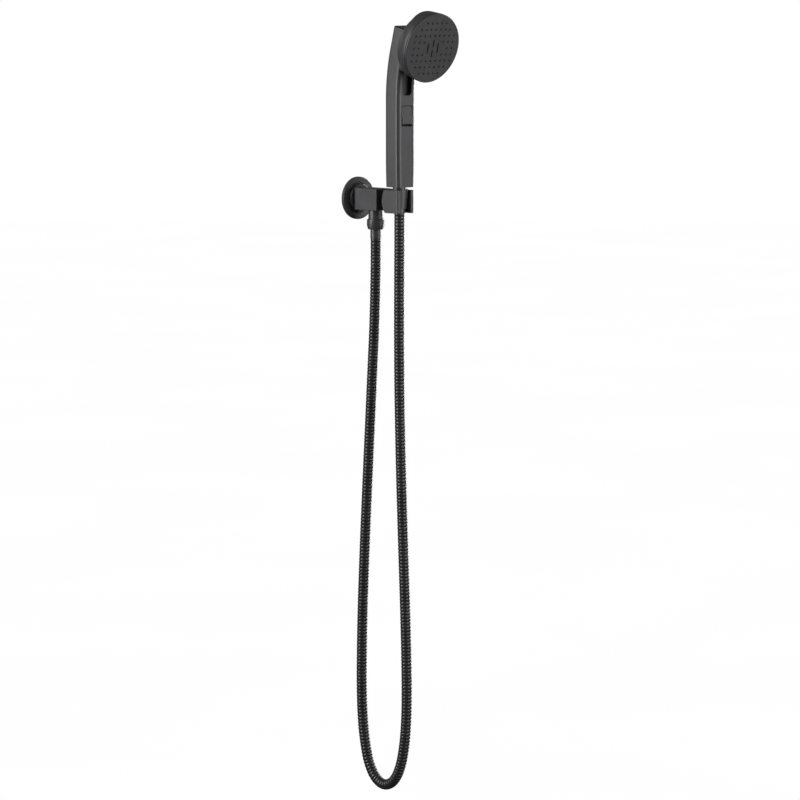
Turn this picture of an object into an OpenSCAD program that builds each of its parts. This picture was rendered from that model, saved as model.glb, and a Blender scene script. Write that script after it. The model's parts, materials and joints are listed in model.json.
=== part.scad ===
// Wall-hung handheld shower set, in millimetres.
// Origin: centre of the wall flange's back face. The wall is the plane y = 0, the set stands out along -Y,
// and +Z is up. Every "_out" value is a distance from the wall.

/* [Wall flange] */
// Diameter of the round wall flange
flange_d = 61; // [56:0.5:74]
// Thickness of the flange's outer rim
flange_rim = 4.4; // [3.4:0.1:5.4]
// Diameter of the raised hub on the flange
hub_d = 40; // [37:0.5:44]
// Distance from the wall to the hub's face
hub_out = 8.6; // [7:0.1:10.5]

/* [Supply arm] */
// Width of the square arm
arm_w = 32; // [27:0.5:38]
// Height of the square arm
arm_h = 30.6; // [28:0.2:37]
// Distance from the wall to the arm's end face
arm_out = 58; // [56:0.5:70]
// Rounding of the arm's upright edges at the flange
arm_back_r = 5.5; // [3:0.5:8]
// Diameter of the arm's round spigot through the flange
spigot_d = 26; // [25:0.5:31]
// Diameter of the inlet thread's bore
inlet_d = 18.6; // [15.5:0.1:20]
// Length of the inlet thread
inlet_l = 14; // [10:0.5:18]
// Diameter of the arm's water passage
arm_passage_d = 10; // [8:0.5:12]

/* [Arm outlet] */
// Distance from the wall to the outlet's axis
outlet_out = 39.5; // [34:0.5:42]
// Diameter of the outlet nipple's collar
nipple_d = 21.4; // [19.8:0.1:22.6]
// Height of the outlet nipple's collar under the arm
nipple_l = 13; // [11:0.5:16]
// Diameter of both hose threads, over the crests
thread_d = 19.4; // [17:0.1:20]
// Length of thread inside each hose nut
thread_l = 8; // [7:0.5:9]
// Diameter of the check valve cartridge
check_d = 12; // [10:0.5:14]

/* [Hose] */
// Outer diameter of the ribbed hose
hose_d = 15.2; // [13:0.1:16.4]
// Outer diameter of the smooth crimp sleeves
sleeve_d = 15.8; // [14:0.1:17]
// Outer diameter of each hose barb inside its sleeve
barb_d = 12; // [10:0.2:12.4]
// Bore of each hose barb
barb_bore_d = 8; // [6:0.5:9]
// Outer diameter of the plain hose nut under the arm
wall_nut_d = 25.6; // [22.4:0.1:30]
// Height of the plain hose nut
wall_nut_h = 14.8; // [13:0.2:17.6]
// Length of the crimp sleeve under the plain nut
wall_sleeve_l = 13.4; // [11:0.2:16]
// Top diameter of the conical hose nut
cone_top_d = 24.4; // [23.6:0.2:25]
// Bottom diameter of the conical hose nut
cone_bottom_d = 19.2; // [18:0.2:20]
// Height of the conical hose nut
cone_h = 27.9; // [24:0.1:33]
// Height of the conical nut's top rim above the arm's axis
cone_top_z = 16.5; // [16.4:0.1:18]
// Length of the crimp sleeve that shows under the conical nut
cone_sleeve_l = 5.3; // [4:0.1:7]
// Thickness of each rubber hose washer
washer_t = 2; // [1.6:0.1:2.4]
// Thickness of each barb's flange
barb_flange_t = 1.5; // [1.2:0.1:1.8]

/* [Cradle] */
// Width of the cradle block
cradle_w = 32; // [30.5:0.5:38]
// Height of the cradle block
cradle_h = 32.8; // [28:0.2:35]
// Height of the cradle's top above the arm's axis
cradle_top_z = 15.3; // [14.6:0.1:16]
// Distance from the wall to the cradle's rounded back
cradle_back_out = 69.1; // [69:0.1:70]
// Distance from the wall to the cradle's front
cradle_front_out = 103; // [102:0.5:108]
// Radius of the cradle's rounded back
cradle_back_r = 29; // [24:0.5:35]
// Rounding of the cradle's upright front edges
cradle_front_r = 3; // [1:0.5:5]
// Width of the slot that the hose passes through
cradle_slot_w = 18; // [15.5:0.5:20]
// Wall of the cradle's plastic liner
liner_t = 1.2; // [0.8:0.1:1.4]
// Distance from the wall to the cone's axis
cone_out = 89.3; // [88.5:0.1:90]

/* [Tilt pivot] */
// Distance from the wall to the tilt axis
pivot_out = 63.6; // [63.4:0.1:63.8]
// Radius of the pivot's round lugs
lug_r = 5; // [4.2:0.1:5.2]
// Thickness of the arm's tongue
tongue_t = 7; // [5.8:0.1:8.4]
// Thickness of each friction washer
friction_t = 0.8; // [0.6:0.1:1]
// Thickness of each cradle ear
ear_t = 2.6; // [2:0.1:3.2]
// Diameter of the pivot screw
pivot_d = 4; // [3:0.1:5]

/* [Handle] */
// Width of the handle
handle_w = 34; // [32:0.5:41]
// Depth of the handle, front to back
handle_d = 29.4; // [28.5:0.1:33]
// Distance from the wall to the handle's centre line
handle_out = 90.1; // [89.5:0.1:91]
// Rounding of the handle's long edges
handle_r = 6; // [4:0.5:8]
// Wall of the handle's shell
shell_t = 2.2; // [1.8:0.1:2.6]
// Height of the handle's lower end above the arm's axis
handle_z = 19.5; // [19:0.1:24]
// Height at which the handle starts to lean forward
bend_z = 144; // [140:1:150]
// Radius of the bend along the handle's centre line
bend_r = 268; // [240:2:320]
// Lean of the handle's upper end
bend_a = 15; // [12.5:0.5:18]
// Length of the straight upper end
upper_l = 31.9; // [29:0.1:38]
// Depth of the front plate, measured on the front face
plate_t = 2.8; // [2.4:0.1:3.2]
// Outer diameter of the water tubes in the handle
tube_d = 10; // [8.5:0.1:10.4]
// Wall of the water tubes
tube_t = 1.4; // [1:0.1:1.7]

/* [Recess] */
// Width of the recess in the front plate
recess_w = 17.2; // [14:0.2:19]
// Height of the recess's lower end
recess_z = 149.7; // [148:0.1:154]
// Corner radius at the recess's lower end
recess_r = 5; // [3:0.5:6]
// Depth of the recess
recess_depth = 8.4; // [7:0.1:8.8]

/* [Rocker] */
// Width of the rocker button
rocker_w = 19.5; // [19:0.1:22]
// Height of the rocker above its axle
rocker_half = 14; // [12.5:0.1:14.4]
// Height of the rocker's axle
rocker_z = 120.8; // [118:0.1:123]
// Depth of the axle behind the handle's front face
rocker_in = 6.3; // [6:0.1:6.6]
// How far the rocker's lower half stands proud
rocker_proud = 2.6; // [1.6:0.1:3.2]
// Gap around the rocker
rocker_gap = 0.5; // [0.4:0.1:0.8]
// Diameter of the rocker's axle
axle_d = 2.4; // [2:0.1:2.8]
// Diameter of the selector spool
spool_d = 7; // [6:0.1:7.2]
// Distance of the spool's axis to the right of the handle's middle
spool_x = 8.3; // [8.1:0.1:8.5]
// Depth of the spool's axis behind the handle's front face
spool_in = 17.8; // [17.6:0.1:18]

/* [Head] */
// Diameter of the spray head
head_d = 100; // [90:1:120]
// Diameter of the head's back edge
head_back_d = 96; // [84:1:98]
// Depth of the head, face to back
head_depth = 26; // [24:0.5:28]
// Distance from the handle's centre line to the spray face
face_out = 55.2; // [54:0.1:58]
// Height of the head's axis above the start of the straight upper end
head_up = 18.4; // [17:0.1:21]
// Wall of the head's housing
head_t = 2.5; // [2:0.1:3]
// Thickness of the spray face
face_t = 2.2; // [1.8:0.1:2.6]
// Width of the fine joint line between face and housing
face_gap = 0.4; // [0.2:0.1:0.6]

/* [Nozzles] */
// Distance between neighbouring nozzles
nozzle_pitch = 9.1; // [7.6:0.1:9.9]
// Diameter of each nozzle's hole in the face
nozzle_d = 3.2; // [2.6:0.1:3.6]
// Diameter of each nozzle's own bore
nozzle_bore_d = 1; // [0.8:0.1:1.2]
// How far each nozzle tip sits below the face
nozzle_sunk = 0.4; // [0.2:0.1:0.8]
// Width of the centre slots
slot_w = 2.4; // [2:0.1:3]
// Length of the two outer centre slots
slot_long = 15; // [12:0.5:17]
// Length of the two middle centre slots
slot_short = 10; // [8:0.5:12]

/* [Hidden] */
$fn = 64;
EPS = 0.01;
fine = 24;
coarse = 32;

black = "#2b2b2d";
dark = "#1c1c1e";
rubber = "#161616";
brass = "#b08d4a";
steel = "#9a9a9e";
white = "#d8d8d4";
clear = "#8f9aa3";

// Clearances
run_gap = 0.05;          // radial gap of a shaft that turns or slides in its bore
part_gap = 0.3;          // gap between pieces that move past each other
seam_gap = 0.1;          // gap between pieces that stay still
plate_gap = 0.4;         // open joint line round the front plate
lap = 0.05;              // overlap of two stretches of one piece
step = 0.05;             // how much smaller the stretch that starts inside the other is

// Flange
flange_r = flange_d / 2;
rim_edge = 0.9;
hub_r = hub_d / 2;
hub_edge = 0.8;
cove_w = 3.4;
spigot_r = spigot_d / 2;
ring_w = 1.8;
ring_depth = 0.9;
ring_out = hub_out - ring_w - 2;
gasket_t = 1.5;
gasket_r = flange_r - 4;
gasket_in_r = spigot_r + 5;

// Arm
tongue_half = tongue_t / 2;
passage_r = arm_passage_d / 2;

// Stack of pieces under the arm
nipple_z = -arm_h / 2 - nipple_l;
wall_thread_end = nipple_z - thread_l;
wall_flange_z = wall_thread_end - washer_t - barb_flange_t;
wall_nut_end = nipple_z - wall_nut_h;
wall_sleeve_end = wall_nut_end - wall_sleeve_l;
nut_edge = 1.6;
nipple_lead = 5;
check_r = check_d / 2;
check_l = 14;
barb_r = barb_d / 2;
hose_r = hose_d / 2;
sleeve_r = sleeve_d / 2;
thread_r = thread_d / 2;
washer_r = thread_r - 0.4;

// Stack of pieces in the conical nut
cone_bottom_z = cone_top_z - cone_h;
cone_thread_end = cone_top_z - thread_l;
cone_washer_top = cone_thread_end - run_gap;
cone_flange_z = cone_washer_top - washer_t - barb_flange_t;
cone_lip_z = cone_flange_z - part_gap;
cone_sleeve_top = cone_bottom_z - part_gap;
cone_sleeve_end = cone_bottom_z - cone_sleeve_l;
cone_groove_z = cone_top_z - 14.2;
cone_groove_half = 0.5;
stub_flange_t = 2;
stub_top = handle_z + shell_t + stub_flange_t + 6;

// Conical seat
cone_slope = (cone_top_d - cone_bottom_d) / 2 / cone_h;
cone_groove_depth = 0.6;
cone_groove_r = cone_top_d / 2 - cone_slope * (cone_top_z - cone_groove_z) - cone_groove_depth;
cradle_low_z = cradle_top_z - cradle_h;
seat_low_r = cone_bottom_d / 2 + (cradle_low_z - cone_bottom_z) * cone_slope + part_gap;
seat_high_r = cone_bottom_d / 2 + (cradle_top_z - cone_bottom_z) * cone_slope + part_gap;

// Tilt pivot
washer_in = tongue_half + run_gap;
ear_in = washer_in + friction_t;
ear_end = ear_in + ear_t;
pivot_head_r = 3.4;
pivot_head_t = 1;

// Handle
front_in = handle_d / 2;
plate_in = front_in - plate_t;
plate_top_z = 186;
plate_top_a = asin((plate_top_z - bend_z) / (bend_r - front_in));
tube_r = tube_d / 2;
tube_shift = handle_out - cone_out;
valve_half = 18;
valve_low = rocker_z - valve_half;
valve_high = rocker_z + valve_half;
seal_t = 1.6;
stub_bore_r = 6;
filter_t = 1.4;
regulator_t = 4;
regulator_hole_r = 0.9;

// Recess
recess_floor = front_in - recess_depth;
recess_wall = 1;

// Rocker
rocker_out = handle_out + front_in - rocker_in;
rocker_low_r = rocker_half + 0.6;
window_corner_r = 2.5;
rocker_corner_r = 3.5;
press_a = 10;
lug_t = 2.4;
lug_wall = 1.2;
rocker_t = 3;
axle_r = axle_d / 2;
spool_r = spool_d / 2;
spool_out = handle_out + front_in - spool_in;
spool_neck_r = spool_r - 1.6;
spool_half = 12;
tip_r = 1.1;
tip_gap = 0.2;
tip_in = rocker_out - spool_out - spool_neck_r - tip_r - tip_gap;
valve_wall = 1.3;
valve_front = rocker_out - rocker_t - 0.4;
valve_depth = valve_front - spool_out + spool_r + valve_wall;

// Head
head_r = head_d / 2;
head_back_r = head_back_d / 2;
back_out = face_out - head_depth;
back_edge = 3;
face_edge = 0.6;
housing_front = face_out - face_t - face_gap;
mat_t = 2;
mat_front = face_out - face_t;
diffuser_t = 1.8;
diffuser_back = mat_front - mat_t - 5;
cavity_back = back_out + head_t;
cavity_back_r = head_back_r - back_edge - head_t;
cavity_front_r = head_r - head_t;
mat_room = 0.95;
cavity_slope = (cavity_front_r - cavity_back_r) / head_depth;
mat_r = cavity_back_r + cavity_slope * (diffuser_back - cavity_back) - mat_room;
seal_r = mat_r + 1.6;
duct_r = tube_r + 2;
spout_step = 0.4;
neck_w = handle_w - handle_r;
neck_r = head_back_r - 6;
neck_drop = 26;
nozzle_r = nozzle_d / 2;
slot_off = 9.4;
slot_mid = 7.5;

// Nozzle columns used in each row of the square grid
row_cols = [
    [-4, [-2, -1, 0, 1, 2]],
    [-3, [-3, -2, -1, 0, 1, 2, 3]],
    [-2, [-4, -3, -2, -1, 0, 1, 2, 3, 4]],
    [-1, [-4, -3, -2, 2, 3, 4]],
    [0, [-4, -3, 3, 4]],
    [1, [-4, -3, -2, 2, 3, 4]],
    [2, [-4, -3, -2, -1, 0, 1, 2, 3, 4]],
    [3, [-3, -2, -1, 0, 1, 2, 3]],
    [4, [-2, -1, 0, 1, 2]]
];

// Hose route in the plane x = 0: distance from the wall, and height
hose_route = [
    [outlet_out, wall_sleeve_end], [outlet_out, wall_sleeve_end - 24],
    [39.2, -105], [38, -146], [36, -190], [33, -235], [30, -280], [27.4, -320], [24.5, -363],
    [21.6, -407], [18.8, -451], [16.1, -495], [13.6, -540], [11.4, -584], [9.8, -628], [8.8, -672],
    [8.6, -706], [10, -746], [14.4, -784], [23.4, -819], [38, -841], [57, -849], [76, -841],
    [90.4, -819], [99.2, -785], [103.4, -746], [104.4, -704], [103.7, -660], [102.3, -616],
    [100.6, -573], [98.6, -530], [96.6, -486], [94.8, -443], [93, -400], [91.5, -357],
    [90.3, -314], [89.3, -270], [88.8, -228], [88.6, -165], [88.9, -100],
    [cone_out, -50], [cone_out, cone_sleeve_end]
];
hose_sides = 10;
hose_steps = 2;

// ---------------------------------------------------------------- helpers

// Places children on an upright axis at a distance from the wall
module upright(dist) {
    translate([0, -dist, 0]) children();
}

// Turns children made along Z so that they point away from the wall
module outward() {
    rotate([90, 0, 0]) children();
}

// Upright ring between two heights
module ring(r_out, r_in, z_low, z_high) {
    translate([0, 0, z_low]) difference() {
        cylinder(r = r_out, h = z_high - z_low);
        translate([0, 0, -1]) cylinder(r = r_in, h = z_high - z_low + 2);
    }
}

// Rectangle with rounded corners, centred
module rounded_rect(w, d, r) {
    square([w - 2 * r, d], center = true);
    square([w, d - 2 * r], center = true);
    for (sx = [-1, 1], sy = [-1, 1])
        translate([sx * (w / 2 - r), sy * (d / 2 - r)]) circle(r = r);
}

// Cross-section of the handle, drawn with its back towards +X and its width along Y
module handle_section(inset) {
    rounded_rect(handle_d - 2 * inset, handle_w - 2 * inset, max(handle_r - inset, 0.5));
}

// Part of a section in front of a line, measured from the handle's centre line
module in_front_of(line) {
    translate([-line - 100, -50]) square(100);
}

module behind(line) {
    translate([-line, -50]) square(100);
}

// Extrudes a section up the handle's straight lower part
module sweep_lower(z_low, z_high) {
    translate([0, -handle_out, z_low]) rotate([0, 0, 90])
        linear_extrude(height = z_high - z_low) children();
}

// Extrudes a section along the bend, between two angles
module sweep_bend(a_low, a_high) {
    translate([0, -handle_out - bend_r, bend_z]) rotate([90, 0, 90]) rotate([0, 0, a_low])
        rotate_extrude(angle = a_high - a_low, $fn = 180) translate([bend_r, 0]) children();
}

// Frame at the top of the bend: Z runs up the handle, -Y points out of its front
module upper_frame() {
    translate([0, -handle_out - bend_r * (1 - cos(bend_a)), bend_z + bend_r * sin(bend_a)])
        rotate([bend_a, 0, 0]) children();
}

// Extrudes a section up the handle's straight upper part, from just inside the bend
module sweep_upper(high) {
    upper_frame() translate([0, 0, -lap]) rotate([0, 0, 90]) linear_extrude(height = high + lap) children();
}

// Frame on the head's axis: Z points out of the spray face
module head_frame() {
    upper_frame() translate([0, 0, head_up]) outward() children();
}

// ---------------------------------------------------------------- wall side

module wall_flange() color(black) outward() difference() {
    rotate_extrude() difference() {
        polygon([
            [0, 0], [flange_r, 0], [flange_r, flange_rim - rim_edge], [flange_r - rim_edge, flange_rim],
            [hub_r + cove_w, flange_rim], [hub_r, flange_rim - 1], [hub_r, hub_out - hub_edge],
            [hub_r - hub_edge, hub_out], [0, hub_out]
        ]);
        translate([gasket_in_r, -EPS]) square([gasket_r - gasket_in_r, gasket_t + EPS]);
    }
    translate([0, 0, -1]) cylinder(r = spigot_r + seam_gap, h = hub_out + 2);
}

module flange_gasket() color(rubber) outward() ring(gasket_r, gasket_in_r, 0, gasket_t);

module flange_o_ring() color(rubber) outward()
    ring(spigot_r + seam_gap, spigot_r - ring_depth, ring_out, ring_out + ring_w);

// Plan of the arm: rounded where it meets the flange, square at its end
module arm_plan() {
    length = arm_out - hub_out;
    translate([0, -hub_out - length / 2]) rounded_rect(arm_w, length, arm_back_r);
    translate([-arm_w / 2, -arm_out]) square([arm_w, length / 2]);
}

module supply_arm() color(black) difference() {
    union() {
        translate([0, 0, -arm_h / 2]) linear_extrude(height = arm_h) arm_plan();
        outward() cylinder(r = spigot_r, h = hub_out + 1);
        translate([-tongue_half, -pivot_out, -lug_r]) cube([tongue_t, pivot_out - arm_out + 1, 2 * lug_r]);
        translate([-tongue_half, -pivot_out, 0]) rotate([0, 90, 0]) cylinder(r = lug_r, h = tongue_t);
    }
    outward() translate([0, 0, -1]) cylinder(d = inlet_d, h = inlet_l + 1);
    outward() cylinder(r = passage_r, h = outlet_out);
    upright(outlet_out) sphere(r = passage_r);
    upright(outlet_out) translate([0, 0, -arm_h / 2 - 1]) cylinder(r = passage_r, h = arm_h / 2 + 1);
    upright(outlet_out) translate([0, 0, -arm_h / 2 - 1]) cylinder(r = thread_r, h = nipple_lead + 1);
    outward() ring(spigot_r + 1, spigot_r - ring_depth, ring_out, ring_out + ring_w);
    translate([-tongue_half - 1, -pivot_out, 0]) rotate([0, 90, 0])
        cylinder(r = pivot_d / 2 + run_gap, h = tongue_t + 2);
}

module outlet_nipple() color(black) upright(outlet_out) difference() {
    union() {
        translate([0, 0, nipple_z]) cylinder(d = nipple_d, h = nipple_l);
        translate([0, 0, wall_thread_end]) cylinder(r = thread_r, h = thread_l + nipple_l + nipple_lead);
    }
    translate([0, 0, wall_thread_end - 1]) cylinder(r = check_r, h = check_l + 1);
    translate([0, 0, wall_thread_end]) cylinder(r = passage_r, h = 60);
}

// Sealed non-return cartridge: a cage with a closed disc that lets water down only
module check_valve() color(white) upright(outlet_out) {
    ring(check_r, check_r - 1.2, wall_thread_end, wall_thread_end + check_l);
    translate([0, 0, wall_thread_end + check_l / 2]) cylinder(r = check_r - 1.2, h = 1.2);
}

module hose_washer(z_low, hole_r) ring(washer_r, hole_r, z_low, z_low + washer_t);

// Barb with a flange that the nut draws up, and a stem that the hose is crimped on
module hose_barb(flange_z, end_z) difference() {
    union() {
        translate([0, 0, flange_z]) cylinder(r = washer_r, h = barb_flange_t);
        translate([0, 0, end_z]) cylinder(r = barb_r, h = flange_z - end_z + 0.5);
    }
    translate([0, 0, end_z - 1]) cylinder(d = barb_bore_d, h = flange_z - end_z + barb_flange_t + 2);
}

module wall_hose_washer() color(rubber) upright(outlet_out)
    hose_washer(wall_thread_end - washer_t, barb_bore_d / 2);

module wall_hose_barb() color(brass) upright(outlet_out) hose_barb(wall_flange_z, wall_sleeve_end);

module wall_hose_nut() color(black) upright(outlet_out) difference() {
    translate([0, 0, wall_nut_end]) rotate_extrude() polygon([
        [0, 0], [wall_nut_d / 2 - nut_edge, 0], [wall_nut_d / 2, nut_edge * 3.4],
        [wall_nut_d / 2, wall_nut_h - nut_edge * 1.2], [wall_nut_d / 2 - nut_edge * 0.6, wall_nut_h],
        [0, wall_nut_h]
    ]);
    translate([0, 0, wall_flange_z]) cylinder(r = thread_r, h = wall_nut_h);
    translate([0, 0, wall_nut_end - 1]) cylinder(r = barb_r, h = wall_nut_h);
}

module wall_hose_sleeve() color(black) upright(outlet_out)
    ring(sleeve_r, barb_r, wall_sleeve_end, wall_nut_end);

// ---------------------------------------------------------------- hose

// Point a share t of the way along segment i of a smooth curve through the route
function route_at(i) = hose_route[min(max(i, 0), len(hose_route) - 1)];
function smooth(a, b, c, d, t) =
    0.5 * (2 * b + (c - a) * t + (2 * a - 5 * b + 4 * c - d) * t * t + (3 * b - a - 3 * c + d) * t * t * t);
hose_line = [
    for (i = [0 : len(hose_route) - 2], k = [0 : hose_steps - 1])
        smooth(route_at(i - 1), route_at(i), route_at(i + 1), route_at(i + 2), k / hose_steps),
    route_at(len(hose_route) - 1)
];
hose_rings = len(hose_line);
function unit(v) = v / norm(v);
function hose_way(i) =
    i == 0 || i == hose_rings - 1 ? [0, i == 0 ? -1 : 1]
    : unit(hose_line[i + 1] - hose_line[i - 1]);
hose_points = [
    for (i = [0 : hose_rings - 1], k = [0 : hose_sides - 1])
        let (way = hose_way(i), turn = 360 * k / hose_sides, side = hose_r * sin(turn))
        [hose_r * cos(turn), -(hose_line[i][0] + side * way[1]), hose_line[i][1] - side * way[0]]
];
hose_faces = concat(
    [[for (k = [0 : hose_sides - 1]) k]],
    [
        for (i = [0 : hose_rings - 2], k = [0 : hose_sides - 1])
            let (a = i * hose_sides, next = (k + 1) % hose_sides)
            [a + k, a + hose_sides + k, a + hose_sides + next, a + next]
    ],
    [[for (k = [hose_sides - 1 : -1 : 0]) (hose_rings - 1) * hose_sides + k]]
);

module hose() color(black) polyhedron(points = hose_points, faces = hose_faces, convexity = 4);

// ---------------------------------------------------------------- cradle

// Cradle block before its seat is cut, rounded at the back so that it can tilt
module cradle_block() {
    depth = cradle_front_out - cradle_back_out;
    intersection() {
        translate([0, -cradle_back_out - depth / 2, cradle_low_z]) linear_extrude(height = cradle_h) {
            rounded_rect(cradle_w, depth, cradle_front_r);
            translate([-cradle_w / 2, 0]) square([cradle_w, depth / 2]);
        }
        union() {
            translate([-cradle_w, -cradle_back_out - cradle_back_r, 0]) rotate([0, 90, 0])
                cylinder(r = cradle_back_r, h = 2 * cradle_w, $fn = 128);
            translate([-cradle_w, -cradle_front_out - 5, -cradle_h])
                cube([2 * cradle_w, cradle_front_out + 5 - cradle_back_out - cradle_back_r, 2 * cradle_h]);
        }
    }
}

// Conical space of the seat, with extra room all round
module seat_space(room) {
    extra = 1;
    upright(cone_out) translate([0, 0, cradle_low_z - extra]) cylinder(
        r1 = seat_low_r + room - extra * cone_slope,
        r2 = seat_high_r + room + extra * cone_slope,
        h = cradle_h + 2 * extra
    );
}

module slot_space(room) {
    translate([-cradle_slot_w / 2 - room, -cradle_front_out - 10, -cradle_h])
        cube([cradle_slot_w + 2 * room, cradle_front_out + 10 - cone_out, 2 * cradle_h]);
}

// Round holes along the tilt axis
module pivot_hole(r) {
    translate([-20, -pivot_out, 0]) rotate([0, 90, 0]) cylinder(r = r, h = 40);
}

module ear(side) {
    x_low = side > 0 ? ear_in : -ear_end;
    translate([x_low, -pivot_out, 0]) rotate([0, 90, 0]) cylinder(r = lug_r, h = ear_t);
    translate([x_low, -cradle_back_out - 1, -lug_r])
        cube([ear_t, cradle_back_out + 1 - pivot_out, 2 * lug_r]);
}

module cradle() color(black) difference() {
    union() {
        cradle_block();
        ear(1);
        ear(-1);
    }
    seat_space(liner_t);
    slot_space(0);
    pivot_hole(pivot_d / 2);
}

module cradle_liner() color(dark) difference() {
    intersection() {
        seat_space(liner_t);
        translate([-cradle_w, -cradle_front_out, cradle_low_z])
            cube([2 * cradle_w, cradle_front_out, cradle_h]);
    }
    seat_space(0);
    slot_space(0);
}

module pivot_screw() color(steel) translate([0, -pivot_out, 0]) rotate([0, 90, 0]) {
    translate([0, 0, -ear_end]) cylinder(r = pivot_d / 2, h = 2 * ear_end + pivot_head_t);
    translate([0, 0, -ear_end - pivot_head_t]) cylinder(r = pivot_head_r, h = pivot_head_t);
}

module pivot_nut() color(steel) translate([ear_end, -pivot_out, 0]) rotate([0, 90, 0]) difference() {
    cylinder(r = pivot_head_r, h = pivot_head_t, $fn = 6);
    translate([0, 0, -1]) cylinder(r = pivot_d / 2, h = pivot_head_t + 2);
}

module friction_washers() color(dark) for (x = [washer_in, -ear_in])
    translate([x, -pivot_out, 0]) rotate([0, 90, 0]) ring(lug_r - 0.2, pivot_d / 2, 0, friction_t);

// ---------------------------------------------------------------- hose end in the conical nut

module handset_hose_barb() color(brass) upright(cone_out) hose_barb(cone_flange_z, cone_sleeve_end);

module handset_hose_washer() color(rubber) upright(cone_out)
    hose_washer(cone_flange_z + barb_flange_t, barb_bore_d / 2);

module handset_hose_sleeve() color(black) upright(cone_out)
    ring(sleeve_r, barb_r, cone_sleeve_end, cone_sleeve_top);

module cone_nut() color(black) upright(cone_out) difference() {
    translate([0, 0, cone_bottom_z]) cylinder(d1 = cone_bottom_d, d2 = cone_top_d, h = cone_h);
    translate([0, 0, cone_lip_z]) cylinder(r = thread_r, h = cone_h);
    translate([0, 0, cone_bottom_z - 1]) cylinder(r = barb_r + run_gap, h = cone_h);
    ring(cone_top_d, cone_groove_r, cone_groove_z - cone_groove_half, cone_groove_z + cone_groove_half);
}

// ---------------------------------------------------------------- handset, water side

// Threaded stub that the conical nut screws onto
module inlet_stub() color(black) upright(cone_out) difference() {
    union() {
        translate([0, 0, cone_thread_end]) cylinder(r = thread_r, h = handle_z + shell_t - cone_thread_end);
        translate([0, 0, handle_z + shell_t]) cylinder(r = thread_r + 1.4, h = stub_top - handle_z - shell_t);
    }
    translate([0, 0, cone_thread_end - 1]) cylinder(r = stub_bore_r, h = 9);
    translate([0, 0, cone_thread_end]) cylinder(r = tube_r - tube_t, h = 60);
    translate([0, 0, stub_top - 5]) cylinder(r = tube_r, h = 6);
}

module inlet_filter() color(steel) upright(cone_out)
    ring(stub_bore_r, 1.2, cone_thread_end, cone_thread_end + filter_t);

module flow_regulator() color(white) upright(cone_out) difference() {
    translate([0, 0, cone_thread_end + filter_t]) cylinder(r = stub_bore_r, h = regulator_t);
    for (a = [0 : 60 : 300]) rotate([0, 0, a])
        translate([3.2, 0, cone_thread_end]) cylinder(r = regulator_hole_r, h = 12, $fn = fine);
}

module lower_water_tube() color(white) upright(cone_out)
    ring(tube_r, tube_r - tube_t, stub_top - 5, valve_low + 4);

// Block with the main passage and, beside it, the selector spool's bore
module valve_body() color(white) difference() {
    translate([-tube_r - valve_wall, -valve_front, valve_low])
        cube([spool_x + spool_r + 2 * valve_wall + tube_r, valve_depth, 2 * valve_half]);
    upright(cone_out) translate([0, 0, valve_low - 1]) cylinder(r = tube_r - tube_t, h = 2 * valve_half + 2);
    upright(cone_out) translate([0, 0, valve_low - 1]) cylinder(r = tube_r, h = 5);
    upright(cone_out) translate([0, 0, valve_high - 4]) cylinder(r = tube_r, h = 5);
    translate([spool_x, -spool_out, valve_low + valve_wall])
        cylinder(r = spool_r + run_gap, h = 2 * valve_half);
    translate([spool_x - 2, -valve_front - 1, rocker_z - 4]) cube([4, valve_front + 1 - spool_out, 9]);
}

// Upper water tube as a solid of any radius: up the bend to a closed end, with a spout along the head's axis
module upper_tube_solid(r, low, front) {
    upright(cone_out) translate([0, 0, low]) cylinder(r = r, h = bend_z - low);
    sweep_bend(0, bend_a) translate([tube_shift, 0]) circle(r = r);
    upper_frame() translate([0, tube_shift, -lap]) cylinder(r = r - step, h = head_up + lap + r);
    head_frame() translate([0, 0, -tube_shift]) cylinder(r = r - spout_step, h = front + tube_shift);
}

module upper_water_tube() color(white) difference() {
    upper_tube_solid(tube_r, valve_high - 4, back_out + head_t);
    upper_tube_solid(tube_r - tube_t, valve_high - 5, back_out + head_t + 1);
}

module tube_seals() color(rubber) upright(cone_out) {
    ring(tube_r + seal_t, tube_r, stub_top, stub_top + seal_t);
    ring(tube_r + seal_t, tube_r, valve_low - seal_t, valve_low);
    ring(tube_r + seal_t, tube_r, valve_high, valve_high + seal_t);
}

// ---------------------------------------------------------------- handset, casing

// Whole length of the handle, with its section and both ends trimmed by an inset
module handle_length(inset) {
    sweep_lower(handle_z + inset, bend_z) handle_section(inset);
    sweep_bend(0, bend_a) handle_section(inset);
    sweep_upper(upper_l - inset) handle_section(inset + step);
}

// Strip at the front of the handle that the front plate fills
module plate_strip(line) {
    sweep_lower(handle_z - 1, bend_z) in_front_of(line);
    sweep_bend(0, plate_top_a) in_front_of(line);
}

module handle_shell() color(black) difference() {
    handle_length(0);
    handle_length(shell_t);
    plate_strip(plate_in - plate_gap);
    upright(cone_out) translate([0, 0, handle_z - 1]) cylinder(r = thread_r, h = shell_t + 2);
    head_frame() cylinder(r = duct_r, h = back_out);
}

// Window that the recess needs through the front plate
module recess_space(room) {
    height = plate_top_z + 20 - recess_z;
    translate([0, 0, recess_z + height / 2]) rotate([90, 0, 0])
        linear_extrude(height = 200) rounded_rect(recess_w + 2 * room, height + 2 * room, recess_r + room);
}

// Outline of the rocker or of its window seen from the front
module rocker_outline(room, corner_r) {
    height = rocker_low_r + rocker_half + 2 * room;
    translate([0, 0, rocker_z + (rocker_half - rocker_low_r) / 2]) outward() linear_extrude(height = 200)
        rounded_rect(rocker_w + 2 * room, height, corner_r);
}

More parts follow.
